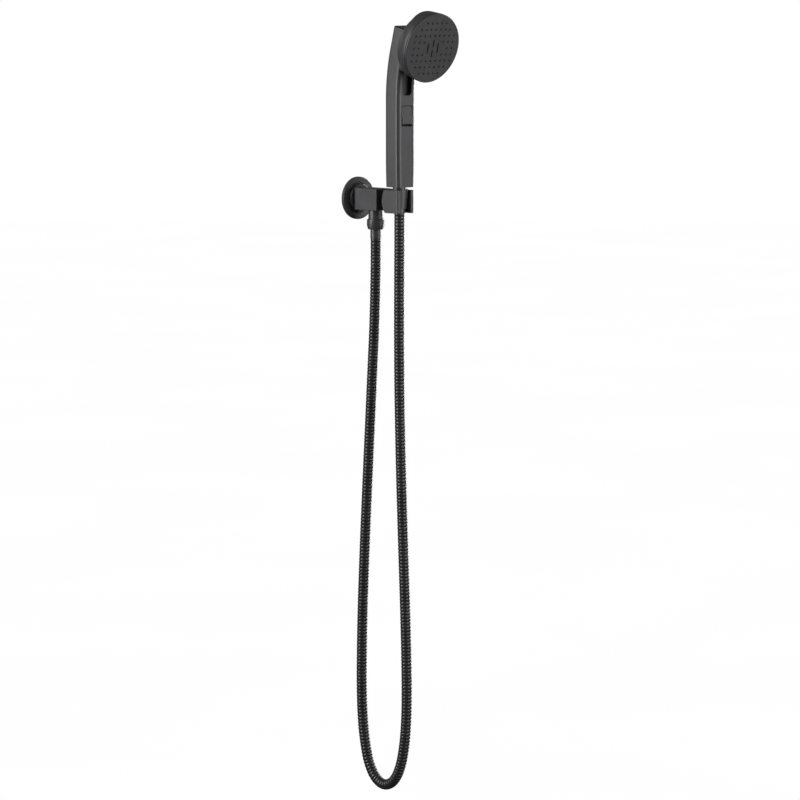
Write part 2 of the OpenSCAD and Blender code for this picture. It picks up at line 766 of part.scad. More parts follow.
// Lugs behind the front plate that hold the ends of the axle
module axle_lugs() {
    for (x = [rocker_w / 2 + rocker_gap, -rocker_w / 2 - rocker_gap - lug_t])
        translate([x, -rocker_out, rocker_z]) rotate([90, 0, 90]) linear_extrude(height = lug_t)
            difference() {
                union() {
                    circle(r = axle_r + lug_wall);
                    translate([-rocker_in + plate_t - 1, -axle_r - lug_wall])
                        square([rocker_in - plate_t + 1, 2 * (axle_r + lug_wall)]);
                }
                circle(r = axle_r);
            }
}

module front_plate() color(black) difference() {
    union() {
        sweep_lower(handle_z, bend_z) intersection() {
            handle_section(0);
            in_front_of(plate_in);
        }
        sweep_bend(0, plate_top_a) intersection() {
            handle_section(0);
            in_front_of(plate_in);
        }
        axle_lugs();
    }
    rocker_outline(rocker_gap, window_corner_r);
    recess_space(0);
}

// Pan behind the recess, open to the front
module recess_liner() color(dark) difference() {
    intersection() {
        recess_space(recess_wall);
        sweep_bend(0, plate_top_a) intersection() {
            handle_section(shell_t + seam_gap);
            behind(plate_in - plate_gap);
            in_front_of(recess_floor - recess_wall);
        }
    }
    intersection() {
        recess_space(0);
        sweep_bend(0, plate_top_a + 1) in_front_of(recess_floor);
    }
}

// Waist between the handle's front and the back of the drum
module neck(room, low, high) {
    head_frame() hull() {
        translate([-neck_w / 2 + room, -head_up - neck_drop + room, low])
            cube([neck_w - 2 * room, neck_drop + upper_l - 2 * room, 1]);
        translate([0, 0, high - 1]) cylinder(r = neck_r - room, h = 1, $fn = coarse);
    }
}

module head_housing() color(black) difference() {
    union() {
        head_frame() rotate_extrude() polygon([
            [0, back_out], [head_back_r - back_edge, back_out], [head_back_r, back_out + back_edge],
            [head_r, housing_front - 3], [head_r, housing_front], [0, housing_front]
        ]);
        neck(0, front_in - 3, back_out + 2);
    }
    neck(head_t, front_in - 4, back_out);
    handle_length(0);
    head_frame() translate([0, 0, cavity_back])
        cylinder(r1 = cavity_back_r, r2 = cavity_front_r, h = head_depth);
    head_frame() cylinder(r = tube_r - spout_step, h = face_out);
}

// ---------------------------------------------------------------- spray head

module at_nozzles() for (row = row_cols, col = row[1])
    translate([col * nozzle_pitch, row[0] * nozzle_pitch, 0]) children();

module centre_slots(depth_low, depth_high, room) {
    for (s = [-1, 1]) {
        translate([s * slot_off, 0, depth_low]) linear_extrude(height = depth_high - depth_low)
            rounded_rect(slot_w + 2 * room, slot_long + 2 * room, slot_w / 2 + room - EPS);
        translate([0, s * slot_mid, depth_low]) linear_extrude(height = depth_high - depth_low)
            rounded_rect(slot_w + 2 * room, slot_short + 2 * room, slot_w / 2 + room - EPS);
    }
}

module diffuser_plate() color(clear) head_frame() difference() {
    translate([0, 0, diffuser_back]) cylinder(r = mat_r, h = diffuser_t);
    for (a = [0 : 45 : 315]) rotate([0, 0, a])
        translate([mat_r * 0.6, 0, diffuser_back - 1]) cylinder(r = 2.5, h = diffuser_t + 2, $fn = fine);
}

// Rubber sheet whose tips stand in the holes of the face
module nozzle_mat() color(rubber) head_frame() difference() {
    union() {
        translate([0, 0, mat_front - mat_t]) cylinder(r = mat_r, h = mat_t);
        at_nozzles() translate([0, 0, mat_front - EPS])
            cylinder(r = nozzle_r - seam_gap, h = face_t - nozzle_sunk, $fn = fine);
    }
    at_nozzles() translate([0, 0, mat_front - mat_t - 1])
        cylinder(d = nozzle_bore_d, h = mat_t + face_t + 2, $fn = fine);
    centre_slots(mat_front - mat_t - 1, face_out, 0);
}

module face_seal() color(rubber) head_frame() ring(seal_r, mat_r + EPS, mat_front - mat_t, mat_front);

module spray_face() color(black) head_frame() difference() {
    rotate_extrude() polygon([
        [0, face_out - face_t], [head_r, face_out - face_t], [head_r, face_out - face_edge],
        [head_r - face_edge, face_out], [0, face_out]
    ]);
    at_nozzles() translate([0, 0, face_out - face_t - 1]) cylinder(r = nozzle_r, h = face_t + 2, $fn = fine);
    centre_slots(face_out - face_t - 1, face_out + 1, 0);
}

// ---------------------------------------------------------------- rocker and selector

module rocker_axle() color(steel) {
    half = rocker_w / 2 + rocker_gap + lug_t;
    translate([-half, -rocker_out, rocker_z]) rotate([0, 90, 0])
        cylinder(r = axle_r, h = 2 * half, $fn = coarse);
}

// Side view of the rocker about its axle: flat upper half, proud lower half with room behind to be pressed
module rocker_profile() {
    intersection() {
        circle(r = rocker_low_r);
        polygon([[-rocker_t, lap], [rocker_in, lap], [rocker_in + rocker_proud, -rocker_half / 2],
            [rocker_in + rocker_proud, -rocker_low_r],
            [rocker_low_r * tan(press_a + 1) - rocker_t, -rocker_low_r], [-rocker_t, 0]]);
    }
    translate([-rocker_t, 0]) square([rocker_in + rocker_t, rocker_half]);
}

module rocker_button() color(black) difference() {
    union() {
        intersection() {
            translate([-rocker_w / 2, -rocker_out, rocker_z]) rotate([90, 0, 90])
                linear_extrude(height = rocker_w) mirror([1, 0]) rocker_profile();
            rocker_outline(0, rocker_corner_r);
        }
        translate([spool_x - tip_r, -rocker_out, rocker_z - 1]) cube([2 * tip_r, tip_in, 2]);
        translate([spool_x - tip_r, -rocker_out + tip_in, rocker_z]) rotate([0, 90, 0])
            cylinder(r = tip_r, h = 2 * tip_r, $fn = coarse);
    }
    translate([-rocker_w, -rocker_out, rocker_z]) rotate([0, 90, 0])
        cylinder(r = axle_r + run_gap, h = 2 * rocker_w, $fn = coarse);
}

module selector_spool() color(white) translate([spool_x, -spool_out, rocker_z]) difference() {
    translate([0, 0, -spool_half]) cylinder(r = spool_r, h = 2 * spool_half);
    ring(spool_r + 1, spool_neck_r, -tip_r - tip_gap, tip_r + tip_gap);
    for (z = [-8, 8]) ring(spool_r + 1, spool_r - 0.9, z - 0.8, z + 0.8);
}

module spool_seals() color(rubber) translate([spool_x, -spool_out, rocker_z])
    for (z = [-8, 8]) ring(spool_r, spool_r - 0.9, z - 0.8, z + 0.8);

// ---------------------------------------------------------------- nodes

wall_flange();
flange_gasket();
flange_o_ring();
supply_arm();
outlet_nipple();
check_valve();
wall_hose_washer();
wall_hose_barb();
wall_hose_nut();
wall_hose_sleeve();
hose();
cradle();
cradle_liner();
pivot_screw();
pivot_nut();
friction_washers();
handset_hose_barb();
handset_hose_washer();
handset_hose_sleeve();
cone_nut();
inlet_stub();
inlet_filter();
flow_regulator();
lower_water_tube();
valve_body();
upper_water_tube();
tube_seals();
handle_shell();
front_plate();
recess_liner();
head_housing();
diffuser_plate();
nozzle_mat();
face_seal();
spray_face();
rocker_axle();
rocker_button();
selector_spool();
spool_seals();
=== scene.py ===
"""Looks of the wall-hung handheld shower set: camera, hose, metal and plastic pieces, floor and light.

Lengths are in metres. The wall is the plane y = 0, the set stands out along -Y, and +Z is up.
"""

import json
from math import cos, pi, radians, sin

import bmesh
import bpy
from mathutils import Matrix, Vector
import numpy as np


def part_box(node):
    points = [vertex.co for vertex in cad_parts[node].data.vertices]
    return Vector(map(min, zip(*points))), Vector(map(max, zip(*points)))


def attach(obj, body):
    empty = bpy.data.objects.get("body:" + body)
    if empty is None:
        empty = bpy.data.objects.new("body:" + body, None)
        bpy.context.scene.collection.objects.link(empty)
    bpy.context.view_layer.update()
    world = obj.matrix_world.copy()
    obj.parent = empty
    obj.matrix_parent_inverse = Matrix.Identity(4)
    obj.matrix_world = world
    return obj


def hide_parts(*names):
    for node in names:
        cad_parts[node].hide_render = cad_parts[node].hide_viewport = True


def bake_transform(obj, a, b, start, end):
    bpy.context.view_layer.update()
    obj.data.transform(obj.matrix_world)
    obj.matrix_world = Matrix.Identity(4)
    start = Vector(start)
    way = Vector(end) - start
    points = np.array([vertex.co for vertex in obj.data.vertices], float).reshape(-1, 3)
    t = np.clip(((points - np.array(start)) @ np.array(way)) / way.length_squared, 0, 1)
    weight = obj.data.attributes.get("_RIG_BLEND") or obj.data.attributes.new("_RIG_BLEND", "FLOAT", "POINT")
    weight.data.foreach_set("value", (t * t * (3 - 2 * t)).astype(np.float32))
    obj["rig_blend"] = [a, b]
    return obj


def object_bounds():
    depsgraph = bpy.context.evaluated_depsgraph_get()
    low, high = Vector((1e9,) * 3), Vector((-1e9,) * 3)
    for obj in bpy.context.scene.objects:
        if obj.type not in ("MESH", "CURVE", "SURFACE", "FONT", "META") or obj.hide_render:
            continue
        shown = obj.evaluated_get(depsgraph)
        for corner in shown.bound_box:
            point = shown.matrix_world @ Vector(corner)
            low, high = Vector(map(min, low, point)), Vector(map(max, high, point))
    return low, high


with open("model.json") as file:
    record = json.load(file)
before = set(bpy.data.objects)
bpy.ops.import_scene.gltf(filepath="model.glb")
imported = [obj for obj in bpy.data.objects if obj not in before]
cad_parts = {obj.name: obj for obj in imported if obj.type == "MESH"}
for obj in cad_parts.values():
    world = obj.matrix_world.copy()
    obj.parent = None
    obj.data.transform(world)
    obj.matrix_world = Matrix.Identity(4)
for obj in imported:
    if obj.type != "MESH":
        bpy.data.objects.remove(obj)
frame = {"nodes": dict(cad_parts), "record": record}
cad_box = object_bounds()
MM = 0.001

# ------------------------------------------------------------------ camera

CAMERA_PLACE = Vector((-3.8711, -4.2414, 0.3719))
CAMERA_AIM = Vector((0, -0.0902, -0.2849))
CAMERA_LENS = 180


def set_up_camera():
    data = bpy.data.cameras.new("camera")
    data.lens = CAMERA_LENS
    data.sensor_width = 36
    data.clip_end = 60
    camera = bpy.data.objects.new("camera", data)
    camera.location = CAMERA_PLACE
    camera.rotation_euler = (CAMERA_AIM - CAMERA_PLACE).to_track_quat("-Z", "Y").to_euler()
    bpy.context.scene.collection.objects.link(camera)
    bpy.context.scene.camera = camera


set_up_camera()

# ------------------------------------------------------------------ finishes


def new_finish(name):
    """An empty node material: the material, its nodes, its links, its shader and its object coordinates."""
    material = bpy.data.materials.new(name)
    material.use_nodes = True
    nodes, links = material.node_tree.nodes, material.node_tree.links
    shader = next(n for n in nodes if n.type == "BSDF_PRINCIPLED")
    place = nodes.new("ShaderNodeTexCoord").outputs["Object"]
    return material, nodes, links, shader, place


def noise(nodes, links, place, scale, detail=3.0, stretch=(1, 1, 1)):
    mapping = nodes.new("ShaderNodeMapping")
    mapping.inputs["Scale"].default_value = stretch
    links.new(place, mapping.inputs["Vector"])
    texture = nodes.new("ShaderNodeTexNoise")
    texture.inputs["Scale"].default_value = scale
    texture.inputs["Detail"].default_value = detail
    links.new(mapping.outputs["Vector"], texture.inputs["Vector"])
    return texture.outputs["Fac"]


def spread(nodes, links, value, low, high):
    """The middle of a noise, from 0.35 to 0.65, spread from low to high."""
    spreader = nodes.new("ShaderNodeMapRange")
    spreader.inputs["From Min"].default_value = 0.35
    spreader.inputs["From Max"].default_value = 0.65
    spreader.inputs["To Min"].default_value = low
    spreader.inputs["To Max"].default_value = high
    links.new(value, spreader.inputs["Value"])
    return spreader.outputs["Result"]


def two_tones(nodes, links, value, tone, other):
    ramp = nodes.new("ShaderNodeValToRGB")
    ramp.color_ramp.elements[0].position = 0.35
    ramp.color_ramp.elements[0].color = (*tone, 1)
    ramp.color_ramp.elements[1].position = 0.65
    ramp.color_ramp.elements[1].color = (*other, 1)
    links.new(value, ramp.inputs["Fac"])
    return ramp.outputs["Color"]


def raise_surface(nodes, links, shader, value, height):
    bump = nodes.new("ShaderNodeBump")
    bump.inputs["Strength"].default_value = 1.0
    bump.inputs["Distance"].default_value = height
    links.new(value, bump.inputs["Height"])
    links.new(bump.outputs["Normal"], shader.inputs["Normal"])


CLOUD_SCALE, HANDLED_SCALE, RING_SCALE = 38, 90, 60


def coated_finish(name, tone, other, rough, grain, height, metallic=0.0, specular=0.5):
    """Satin paint, powder coat or moulded plastic: cloudy tone, uneven sheen and a fine orange peel."""
    material, nodes, links, shader, place = new_finish(name)
    shader.inputs["Metallic"].default_value = metallic
    shader.inputs["Specular IOR Level"].default_value = specular
    cloud = noise(nodes, links, place, CLOUD_SCALE, 4)
    links.new(two_tones(nodes, links, cloud, tone, other), shader.inputs["Base Color"])
    handled = noise(nodes, links, place, HANDLED_SCALE, 6)
    links.new(spread(nodes, links, handled, rough - 0.03, rough + 0.04), shader.inputs["Roughness"])
    raise_surface(nodes, links, shader, noise(nodes, links, place, grain, 2), height)
    return material


def turned_finish(name, tone, other, rough, stretch):
    """Bare metal off the lathe: fine rings across one axis."""
    material, nodes, links, shader, place = new_finish(name)
    shader.inputs["Metallic"].default_value = 1.0
    rings = noise(nodes, links, place, RING_SCALE, 5, stretch)
    links.new(two_tones(nodes, links, rings, tone, other), shader.inputs["Base Color"])
    links.new(spread(nodes, links, rings, rough - 0.05, rough + 0.08), shader.inputs["Roughness"])
    raise_surface(nodes, links, shader, rings, 0.00001)
    return material


FINISHES = {
    "black": coated_finish(
        "satin_black_coat", (0.028, 0.028, 0.030), (0.033, 0.033, 0.035), 0.42, 1400, 0.00002
    ),
    "black_metal": coated_finish(
        "satin_black_on_brass", (0.030, 0.030, 0.032), (0.035, 0.035, 0.037), 0.38, 1700, 0.000015
    ),
    "hose_black": coated_finish(
        "black_wound_steel", (0.020, 0.020, 0.022), (0.027, 0.027, 0.029), 0.34, 1900, 0.000015, 0.35
    ),
    "dark_plastic": coated_finish(
        "dark_plastic", (0.010, 0.010, 0.011), (0.014, 0.014, 0.015), 0.55, 1100, 0.00003
    ),
    "rubber": coated_finish(
        "black_rubber", (0.017, 0.017, 0.017), (0.023, 0.023, 0.023), 0.72, 2300, 0.00004, 0.0, 0.35
    ),
    "white_plastic": coated_finish(
        "white_plastic", (0.70, 0.70, 0.67), (0.74, 0.74, 0.71), 0.42, 900, 0.00002
    ),
    "smoke_plastic": coated_finish(
        "smoke_plastic", (0.28, 0.31, 0.34), (0.32, 0.35, 0.38), 0.30, 900, 0.00001
    ),
    "brass": turned_finish("turned_brass", (0.52, 0.38, 0.15), (0.58, 0.44, 0.19), 0.28, (1, 1, 30)),
    "steel": turned_finish("turned_steel", (0.50, 0.50, 0.51), (0.58, 0.58, 0.59), 0.30, (30, 1, 1)),
}

# ------------------------------------------------------------------ making pieces


def put_in_scene(name, bm, finish, *, soft_over=40):
    """A piece made from a bmesh, smooth except over edges sharper than soft_over degrees."""
    mesh = bpy.data.meshes.new(name)
    bm.to_mesh(mesh)
    bm.free()
    piece = bpy.data.objects.new(name, mesh)
    bpy.context.scene.collection.objects.link(piece)
    mesh.materials.append(FINISHES[finish])
    mesh.shade_smooth()
    mesh.set_sharp_from_angle(angle=radians(soft_over))
    return piece


def even_shading(piece):
    """Lets flat faces stay flat beside their rounded edges."""
    modifier = piece.modifiers.new("even_shading", "WEIGHTED_NORMAL")
    modifier.keep_sharp = True
    modifier.weight = 100


def turned(profile, turns=72, bevel=0.0, over=30):
    """A lathe shape about the Z axis from a closed outline of (radius, height) points."""
    bm = bmesh.new()
    verts = [bm.verts.new((radius, 0, height)) for radius, height in profile]
    edges = [bm.edges.new((verts[i - 1], verts[i])) for i in range(1, len(verts))]
    if profile[0][0] > 0 or profile[-1][0] > 0:
        edges.append(bm.edges.new((verts[-1], verts[0])))
    bmesh.ops.spin(
        bm, geom=verts + edges, cent=(0, 0, 0), axis=(0, 0, 1), dvec=(0, 0, 0),
        angle=2 * pi, steps=turns, use_merge=True,
    )
    bmesh.ops.remove_doubles(bm, verts=bm.verts, dist=1e-6)
    bmesh.ops.recalc_face_normals(bm, faces=bm.faces)
    if bevel:
        round_edges(bm, bevel, over)
    return bm


def round_edges(bm, width, over=40, segments=3, where=lambda edge: True):
    """Rounds the edges that turn by more than so many degrees."""
    sharp = [
        e for e in bm.edges
        if len(e.link_faces) == 2 and e.calc_face_angle() > radians(over) and where(e)
    ]
    bmesh.ops.bevel(
        bm, geom=sharp, offset=width, segments=segments, profile=0.5, affect="EDGES",
        clamp_overlap=False, material=-1,
    )


def cad_copy(node):
    """A merged copy of a CAD node's mesh, with its flat faces made whole."""
    bm = bmesh.new()
    bm.from_mesh(frame["nodes"][node].data)
    bmesh.ops.remove_doubles(bm, verts=bm.verts, dist=1e-6)
    bmesh.ops.dissolve_limit(bm, angle_limit=radians(0.3), verts=bm.verts, edges=bm.edges)
    return bm


def stand_for(piece, body, *nodes):
    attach(piece, body)
    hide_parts(*nodes)
    return piece


def middle(node):
    low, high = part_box(node)
    return (low + high) / 2


# ------------------------------------------------------------------ hose

# Route of the hose in the plane x = 0: distance from the wall, and height
HOSE_ROUTE = [
    (0.0395, -0.0565), (0.0395, -0.0805), (0.0392, -0.105), (0.038, -0.146), (0.036, -0.190),
    (0.033, -0.235), (0.030, -0.280), (0.0274, -0.320), (0.0245, -0.363), (0.0216, -0.407),
    (0.0188, -0.451), (0.0161, -0.495), (0.0136, -0.540), (0.0114, -0.584), (0.0098, -0.628),
    (0.0088, -0.672), (0.0086, -0.706), (0.010, -0.746), (0.0144, -0.784), (0.0234, -0.819),
    (0.038, -0.841), (0.057, -0.849), (0.076, -0.841), (0.0904, -0.819), (0.0992, -0.785),
    (0.1034, -0.746), (0.1044, -0.704), (0.1037, -0.660), (0.1023, -0.616), (0.1006, -0.573),
    (0.0986, -0.530), (0.0966, -0.486), (0.0948, -0.443), (0.093, -0.400), (0.0915, -0.357),
    (0.0903, -0.314), (0.0893, -0.270), (0.0888, -0.228), (0.0886, -0.165), (0.0889, -0.100),
    (0.0893, -0.050), (0.0893, -0.0167),
]
HOSE_D = 0.0152
RIB_PITCH = 0.0049
RIB_CREST = HOSE_D / 2
RIB_ROOT = 0.0068
HOSE_SIDES = 24
STEPS_PER_POINT = 12
# One rib: share of the pitch, and share of the way from the root to the crest
RIB_SHAPE = [(0.0, 0.0), (0.07, 0.5), (0.18, 0.9), (0.5, 1.0), (0.82, 0.9), (0.93, 0.5)]
# The hose bends with the cradle between these heights, and follows it above them
BEND_LOW, BEND_HIGH = -0.25, -0.05
PULL_LENGTH = 0.030
# The pulled-out stretch is this much thinner, so that it lies inside the hose
PULL_ROOM = 0.00015
# Edges of the ribs stay smooth up to this turn, in degrees
RIB_SOFT_OVER = 75


def smooth_route(points, steps):
    """Points of a smooth curve through the route's own points."""
    line = []
    last = len(points) - 1
    for i in range(last):
        a, b, c, d = (Vector(points[min(max(k, 0), last)]) for k in (i - 1, i, i + 1, i + 2))
        for k in range(steps):
            t = k / steps
            line.append(0.5 * (2 * b + (c - a) * t + (2 * a - 5 * b + 4 * c - d) * t * t
                               + (3 * b - a - 3 * c + d) * t * t * t))
    line.append(Vector(points[-1]))
    return [Vector((0, -p.x, p.y)) for p in line]


def ribbed_profile(length, crest, root):
    """Outline of a straight ribbed hose that starts at height 0, closed at both ends."""
    ribs = round(length / RIB_PITCH)
    pitch = length / ribs
    outline = [(0.0, 0.0)]
    for rib in range(ribs):
        for along, out in RIB_SHAPE:
            outline.append((root + (crest - root) * out, (rib + along) * pitch))
    outline.append((root, length))
    outline.append((0.0, length))
    return outline


def lay_along(bm, line):
    """Bends a straight piece that stands on the Z axis so that it follows a line in the plane x = 0."""
    run = [0.0]
    for a, b in zip(line, line[1:]):
        run.append(run[-1] + (b - a).length)
    ways = [(line[min(i + 1, len(line) - 1)] - line[max(i - 1, 0)]).normalized() for i in range(len(line))]
    i = 0
    for vert in sorted(bm.verts, key=lambda v: v.co.z):
        while i < len(run) - 2 and run[i + 1] < vert.co.z:
            i += 1
        t = (vert.co.z - run[i]) / (run[i + 1] - run[i])
        way = ways[i].lerp(ways[i + 1], t).normalized()
        side = Vector((0, way.z, -way.y))
        vert.co = line[i].lerp(line[i + 1], t) + Vector((1, 0, 0)) * vert.co.x + side * vert.co.y
    bmesh.ops.recalc_face_normals(bm, faces=bm.faces)


def make_hose():
    line = smooth_route(HOSE_ROUTE, STEPS_PER_POINT)
    length = sum((b - a).length for a, b in zip(line, line[1:]))
    bm = turned(ribbed_profile(length, RIB_CREST, RIB_ROOT), HOSE_SIDES)
    lay_along(bm, line)
    hose = put_in_scene("ribbed_hose", bm, "hose_black", soft_over=RIB_SOFT_OVER)
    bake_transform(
        hose, "wall_unit", "cradle_unit",
        start=(0, line[-1].y, BEND_LOW), end=(0, line[-1].y, BEND_HIGH),
    )
    # The strand that hangs from the arm stays with the wall
    halfway = (line[0].y + line[-1].y) / 2
    share = hose.data.attributes["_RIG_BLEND"].data
    for vert in hose.data.vertices:
        if vert.co.y > halfway:
            share[vert.index].value = 0.0
    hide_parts("hose")
    return hose, line, length


def make_hose_pull():
    """Top stretch of hose that rises out of the cradle with the handset; it lies inside the hose at rest."""
    top = HOSE_ROUTE[-1]
    bm = turned(ribbed_profile(PULL_LENGTH, RIB_CREST - PULL_ROOM, RIB_ROOT - PULL_ROOM), HOSE_SIDES)
    bmesh.ops.translate(bm, verts=bm.verts, vec=(0, -top[0], top[1] - PULL_LENGTH))
    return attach(put_in_scene("hose_pull", bm, "hose_black", soft_over=RIB_SOFT_OVER), "hose_end")


ribbed_hose, hose_line, hose_length = make_hose()
make_hose_pull()


# Water way and half-inch thread, shared by the nuts and the outlet
WATER_R = 6.0 * MM
THREAD_R = 9.7 * MM


def plain_sleeve(name, node, body):
    """Smooth crimp sleeve with eased rims."""
    low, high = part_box(node)
    centre = middle(node)
    radius = (high.x - low.x) / 2
    bore = radius - MM
    bm = turned([(bore, low.z), (radius, low.z), (radius, high.z), (bore, high.z)], bevel=0.25 * MM)
    bmesh.ops.translate(bm, verts=bm.verts, vec=(0, centre.y, 0))
    piece = put_in_scene(name, bm, "black_metal")
    even_shading(piece)
    return stand_for(piece, body, node)


wall_sleeve = plain_sleeve("wall_crimp_sleeve", "wall_hose_sleeve", "wall_unit")
cone_sleeve = plain_sleeve("cone_crimp_sleeve", "handset_hose_sleeve", "hose_end")


NUT_FLOOR = 3.3 * MM
# Chamfers of the plain nut: how far they go in, and how high they are
NUT_LOW_IN, NUT_LOW_HIGH = 1.6 * MM, 5.44 * MM
NUT_TOP_IN, NUT_TOP_HIGH = 0.96 * MM, 1.92 * MM


def make_wall_nut():
    low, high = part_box("wall_hose_nut")
    radius = (high.x - low.x) / 2
    floor = low.z + NUT_FLOOR
    bm = turned([
        (WATER_R, low.z), (radius - NUT_LOW_IN, low.z), (radius, low.z + NUT_LOW_HIGH),
        (radius, high.z - NUT_TOP_HIGH), (radius - NUT_TOP_IN, high.z), (THREAD_R, high.z),
        (THREAD_R, floor), (WATER_R, floor),
    ], bevel=0.3 * MM, over=20)
    bmesh.ops.translate(bm, verts=bm.verts, vec=(0, middle("wall_hose_nut").y, 0))
    piece = put_in_scene("wall_nut", bm, "black_metal")
    even_shading(piece)
    return stand_for(piece, "wall_unit", "wall_hose_nut")


wall_nut = make_wall_nut()

# ------------------------------------------------------------------ wall side


FLANGE_BORE = 13.1 * MM
GASKET_IN, GASKET_OUT, GASKET_DEEP = 18 * MM, 26.5 * MM, 1.5 * MM
DISC_T, DISC_EDGE = 4.4 * MM, 0.9 * MM
HUB_R, HUB_EDGE = 20 * MM, 0.8 * MM
# Shallow groove in the disc round the foot of the hub
COVE_R, COVE_FLOOR, COVE_FOOT, COVE_FOOT_W = 23.4 * MM, 3.6 * MM, 3.4 * MM, 1.2 * MM
FLANGE_SIDES = 128


def make_flange():
    low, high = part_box("wall_flange")
    rim, out = high.x, -low.y
    bm = turned([
        (FLANGE_BORE, 0), (GASKET_IN, 0), (GASKET_IN, GASKET_DEEP), (GASKET_OUT, GASKET_DEEP),
        (GASKET_OUT, 0), (rim, 0), (rim, DISC_T - DISC_EDGE), (rim - DISC_EDGE, DISC_T), (COVE_R, DISC_T),
        (HUB_R + COVE_FOOT_W, COVE_FLOOR), (HUB_R, COVE_FOOT), (HUB_R, out - HUB_EDGE),
        (HUB_R - HUB_EDGE, out), (FLANGE_BORE, out),
    ], FLANGE_SIDES, 0.25 * MM, 25)
    bmesh.ops.rotate(bm, verts=bm.verts, cent=(0, 0, 0), matrix=Matrix.Rotation(pi / 2, 3, "X"))
    piece = put_in_scene("flange_disc", bm, "black_metal")
    even_shading(piece)
    return stand_for(piece, "wall_unit", "wall_flange")


def make_arm():
    bm = cad_copy("supply_arm")
    round_edges(bm, 0.45 * MM)
    piece = put_in_scene("square_arm", bm, "black_metal")
    even_shading(piece)
    return stand_for(piece, "wall_unit", "supply_arm")


def make_nipple():
    low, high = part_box("outlet_nipple")
    collar = (high.x - low.x) / 2
    arm_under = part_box("supply_arm")[0].z
    collar_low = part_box("wall_hose_nut")[1].z
    bm = turned([
        (WATER_R, low.z), (THREAD_R, low.z), (THREAD_R, collar_low), (collar, collar_low),
        (collar, arm_under), (THREAD_R, arm_under), (THREAD_R, high.z), (WATER_R, high.z),
    ], bevel=0.3 * MM)
    bmesh.ops.translate(bm, verts=bm.verts, vec=(0, middle("outlet_nipple").y, 0))
    piece = put_in_scene("outlet_collar", bm, "black_metal")
    even_shading(piece)
    return stand_for(piece, "wall_unit", "outlet_nipple")


make_flange()
make_arm()
make_nipple()

# ------------------------------------------------------------------ cradle


def make_cradle():
    bm = cad_copy("cradle")
    round_edges(bm, 0.5 * MM)
    piece = put_in_scene("tilting_cradle", bm, "black")
    even_shading(piece)
    return stand_for(piece, "cradle_unit", "cradle")


make_cradle()

# ------------------------------------------------------------------ conical nut


CONE_LOW_R = 9.6 * MM
CONE_BORE = 6.05 * MM
CONE_FLOOR_Z = 4.7 * MM
CONE_SIDES = 96
# Groove round the conical nut: height of its middle, depth, and half its width
GROOVE_Z, GROOVE_DEEP, GROOVE_HALF = 2.3 * MM, 0.6 * MM, 0.5 * MM


def make_cone_nut():
    low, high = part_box("cone_nut")
    top = (high.x - low.x) / 2
    slope = (top - CONE_LOW_R) / (high.z - low.z)
    at_groove = CONE_LOW_R + (GROOVE_Z - low.z) * slope
    bm = turned([
        (CONE_BORE, low.z), (CONE_LOW_R, low.z), (at_groove - GROOVE_HALF * slope, GROOVE_Z - GROOVE_HALF),
        (at_groove - GROOVE_DEEP, GROOVE_Z - GROOVE_HALF), (at_groove - GROOVE_DEEP, GROOVE_Z + GROOVE_HALF),
        (at_groove + GROOVE_HALF * slope, GROOVE_Z + GROOVE_HALF), (top, high.z), (THREAD_R, high.z),
        (THREAD_R, CONE_FLOOR_Z), (CONE_BORE, CONE_FLOOR_Z),
    ], CONE_SIDES, 0.2 * MM)
    bmesh.ops.translate(bm, verts=bm.verts, vec=(0, middle("cone_nut").y, 0))
    piece = put_in_scene("conical_nut", bm, "black_metal")
    even_shading(piece)
    return stand_for(piece, "handset", "cone_nut")


make_cone_nut()

# ------------------------------------------------------------------ handle

TAPER_TOP = 0.070
TAPER_LOW = 0.0195
TAPER_IN = 0.06
TAPER_CUTS = 6
SEAM_EDGE = 0.12 * MM


def draw_in_lower_end(bm):
    """Makes the handle a little narrower towards its lower end."""
    for k in range(TAPER_CUTS):
        height = TAPER_LOW + (TAPER_TOP - TAPER_LOW) * (k + 0.5) / TAPER_CUTS
        everything = bm.verts[:] + bm.edges[:] + bm.faces[:]
        bmesh.ops.bisect_plane(bm, geom=everything, plane_co=(0, 0, height), plane_no=(0, 0, 1))
    for vert in bm.verts:
        share = min(max((TAPER_TOP - vert.co.z) / (TAPER_TOP - TAPER_LOW), 0), 1)
        vert.co.x *= 1 - TAPER_IN * share * share


def make_handle():
    bm = cad_copy("handle_shell")
    round_edges(bm, SEAM_EDGE, segments=2)
    draw_in_lower_end(bm)
    piece = put_in_scene("handle_back", bm, "black")
    even_shading(piece)
    return stand_for(piece, "handset", "handle_shell")


def make_front_plate():
    bm = cad_copy("front_plate")
    round_edges(bm, SEAM_EDGE, segments=2)
    draw_in_lower_end(bm)
    piece = put_in_scene("handle_front", bm, "black")
    even_shading(piece)
    return stand_for(piece, "handset", "front_plate")


def make_rocker():
    bm = cad_copy("rocker_button")
    round_edges(bm, 0.6 * MM)
    piece = put_in_scene("rocker_key", bm, "black")
    even_shading(piece)
    return stand_for(piece, "rocker", "rocker_button")


make_handle()
make_front_plate()
make_rocker()

# ------------------------------------------------------------------ spray head

LEAN = radians(15)
UPPER_START = Vector((0, -0.09923, 0.21336))
HEAD_UP = 18.4 * MM
# Head frame: X across, Y up the handle, Z out of the spray face
HEAD = (
    Matrix.Translation(UPPER_START) @ Matrix.Rotation(LEAN, 4, "X")
    @ Matrix.Translation((0, 0, HEAD_UP)) @ Matrix.Rotation(pi / 2, 4, "X")
)
HEAD_SIDES = 128
HOUSING_OUT = 52.6 * MM
BACK_OUT = 29.2 * MM
FLOW_OUT = 46 * MM
FLOW_R = 49.1 * MM
NO_WIDTH = 1e-9


